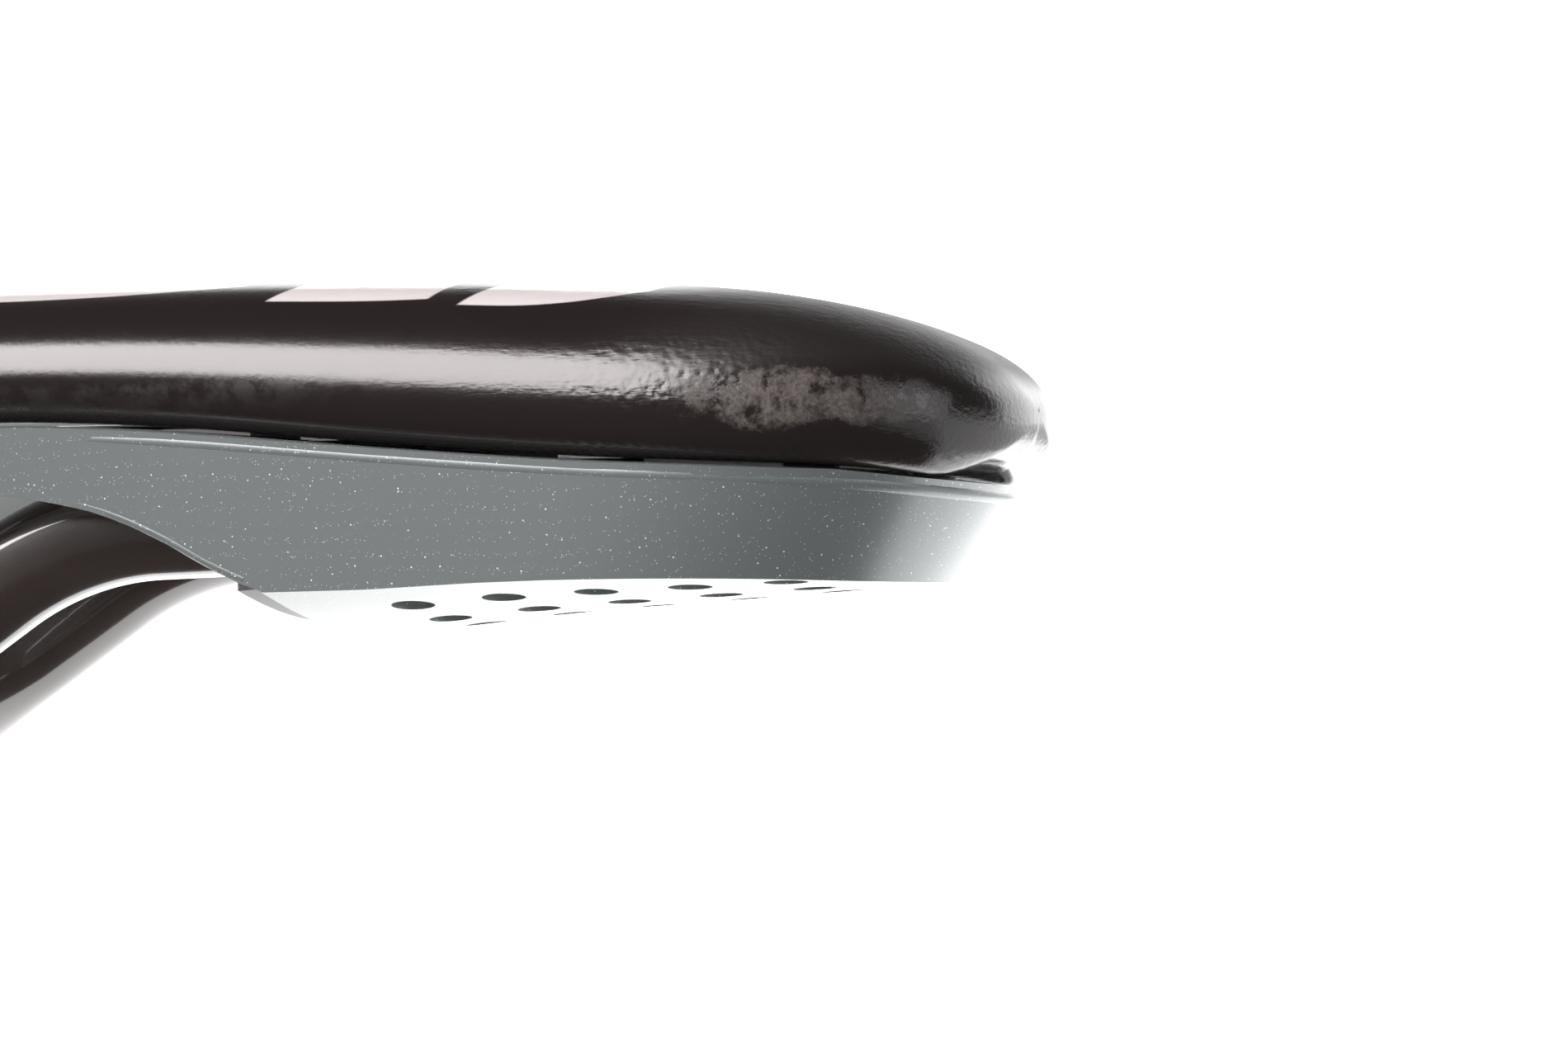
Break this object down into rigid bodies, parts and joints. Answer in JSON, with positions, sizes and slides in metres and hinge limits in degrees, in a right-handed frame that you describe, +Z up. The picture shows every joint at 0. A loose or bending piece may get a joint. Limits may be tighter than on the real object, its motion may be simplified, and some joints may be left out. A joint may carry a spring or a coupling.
{
  "type": "bicycle saddle",
  "caption": "Padded road bicycle saddle with an under shell, a vented nose box and two oval composite rails for a seatpost clamp",
  "frame": {"origin": "midway between the two rails, at their centre height, at the middle of the straight length that the seatpost clamps", "axes": "+X to the nose, +Y to the rider's left, +Z up"},
  "size_m": [0.2739, 0.1422, 0.0539],
  "materials": {
    "cover": "grained synthetic leather, satin with glossy printed patches and a worn matte patch",
    "foam": "soft closed-cell foam",
    "base": "moulded nylon",
    "under_shell": "grey metal-flake satin lacquer",
    "rail": "glossy black composite",
    "moulding": "moulded glass-filled nylon",
    "sleeve": "soft rubber",
    "bolt": "black oxide steel",
    "washer": "plain steel",
    "insert": "knurled brass",
    "screw": "black steel",
    "staple": "galvanised wire"
  },
  "bodies": {
    "root": {"cover": "cover", "foam_padding": "foam", "base_shell": "base", "under_shell": "under_shell", "rail_left": "rail", "rail_right": "rail", "nose_block": "moulding", "rear_socket_left": "moulding", "rear_socket_right": "moulding", "nose_sleeve_left": "sleeve", "nose_sleeve_right": "sleeve", "rear_sleeve_left": "sleeve", "rear_sleeve_right": "sleeve", "nose_bolts": "bolt", "socket_bolts": "bolt", "bolt_washers": "washer", "threaded_inserts": "insert", "shell_screws": "screw", "hem_staples": "staple"}
  },
  "joints": []
}
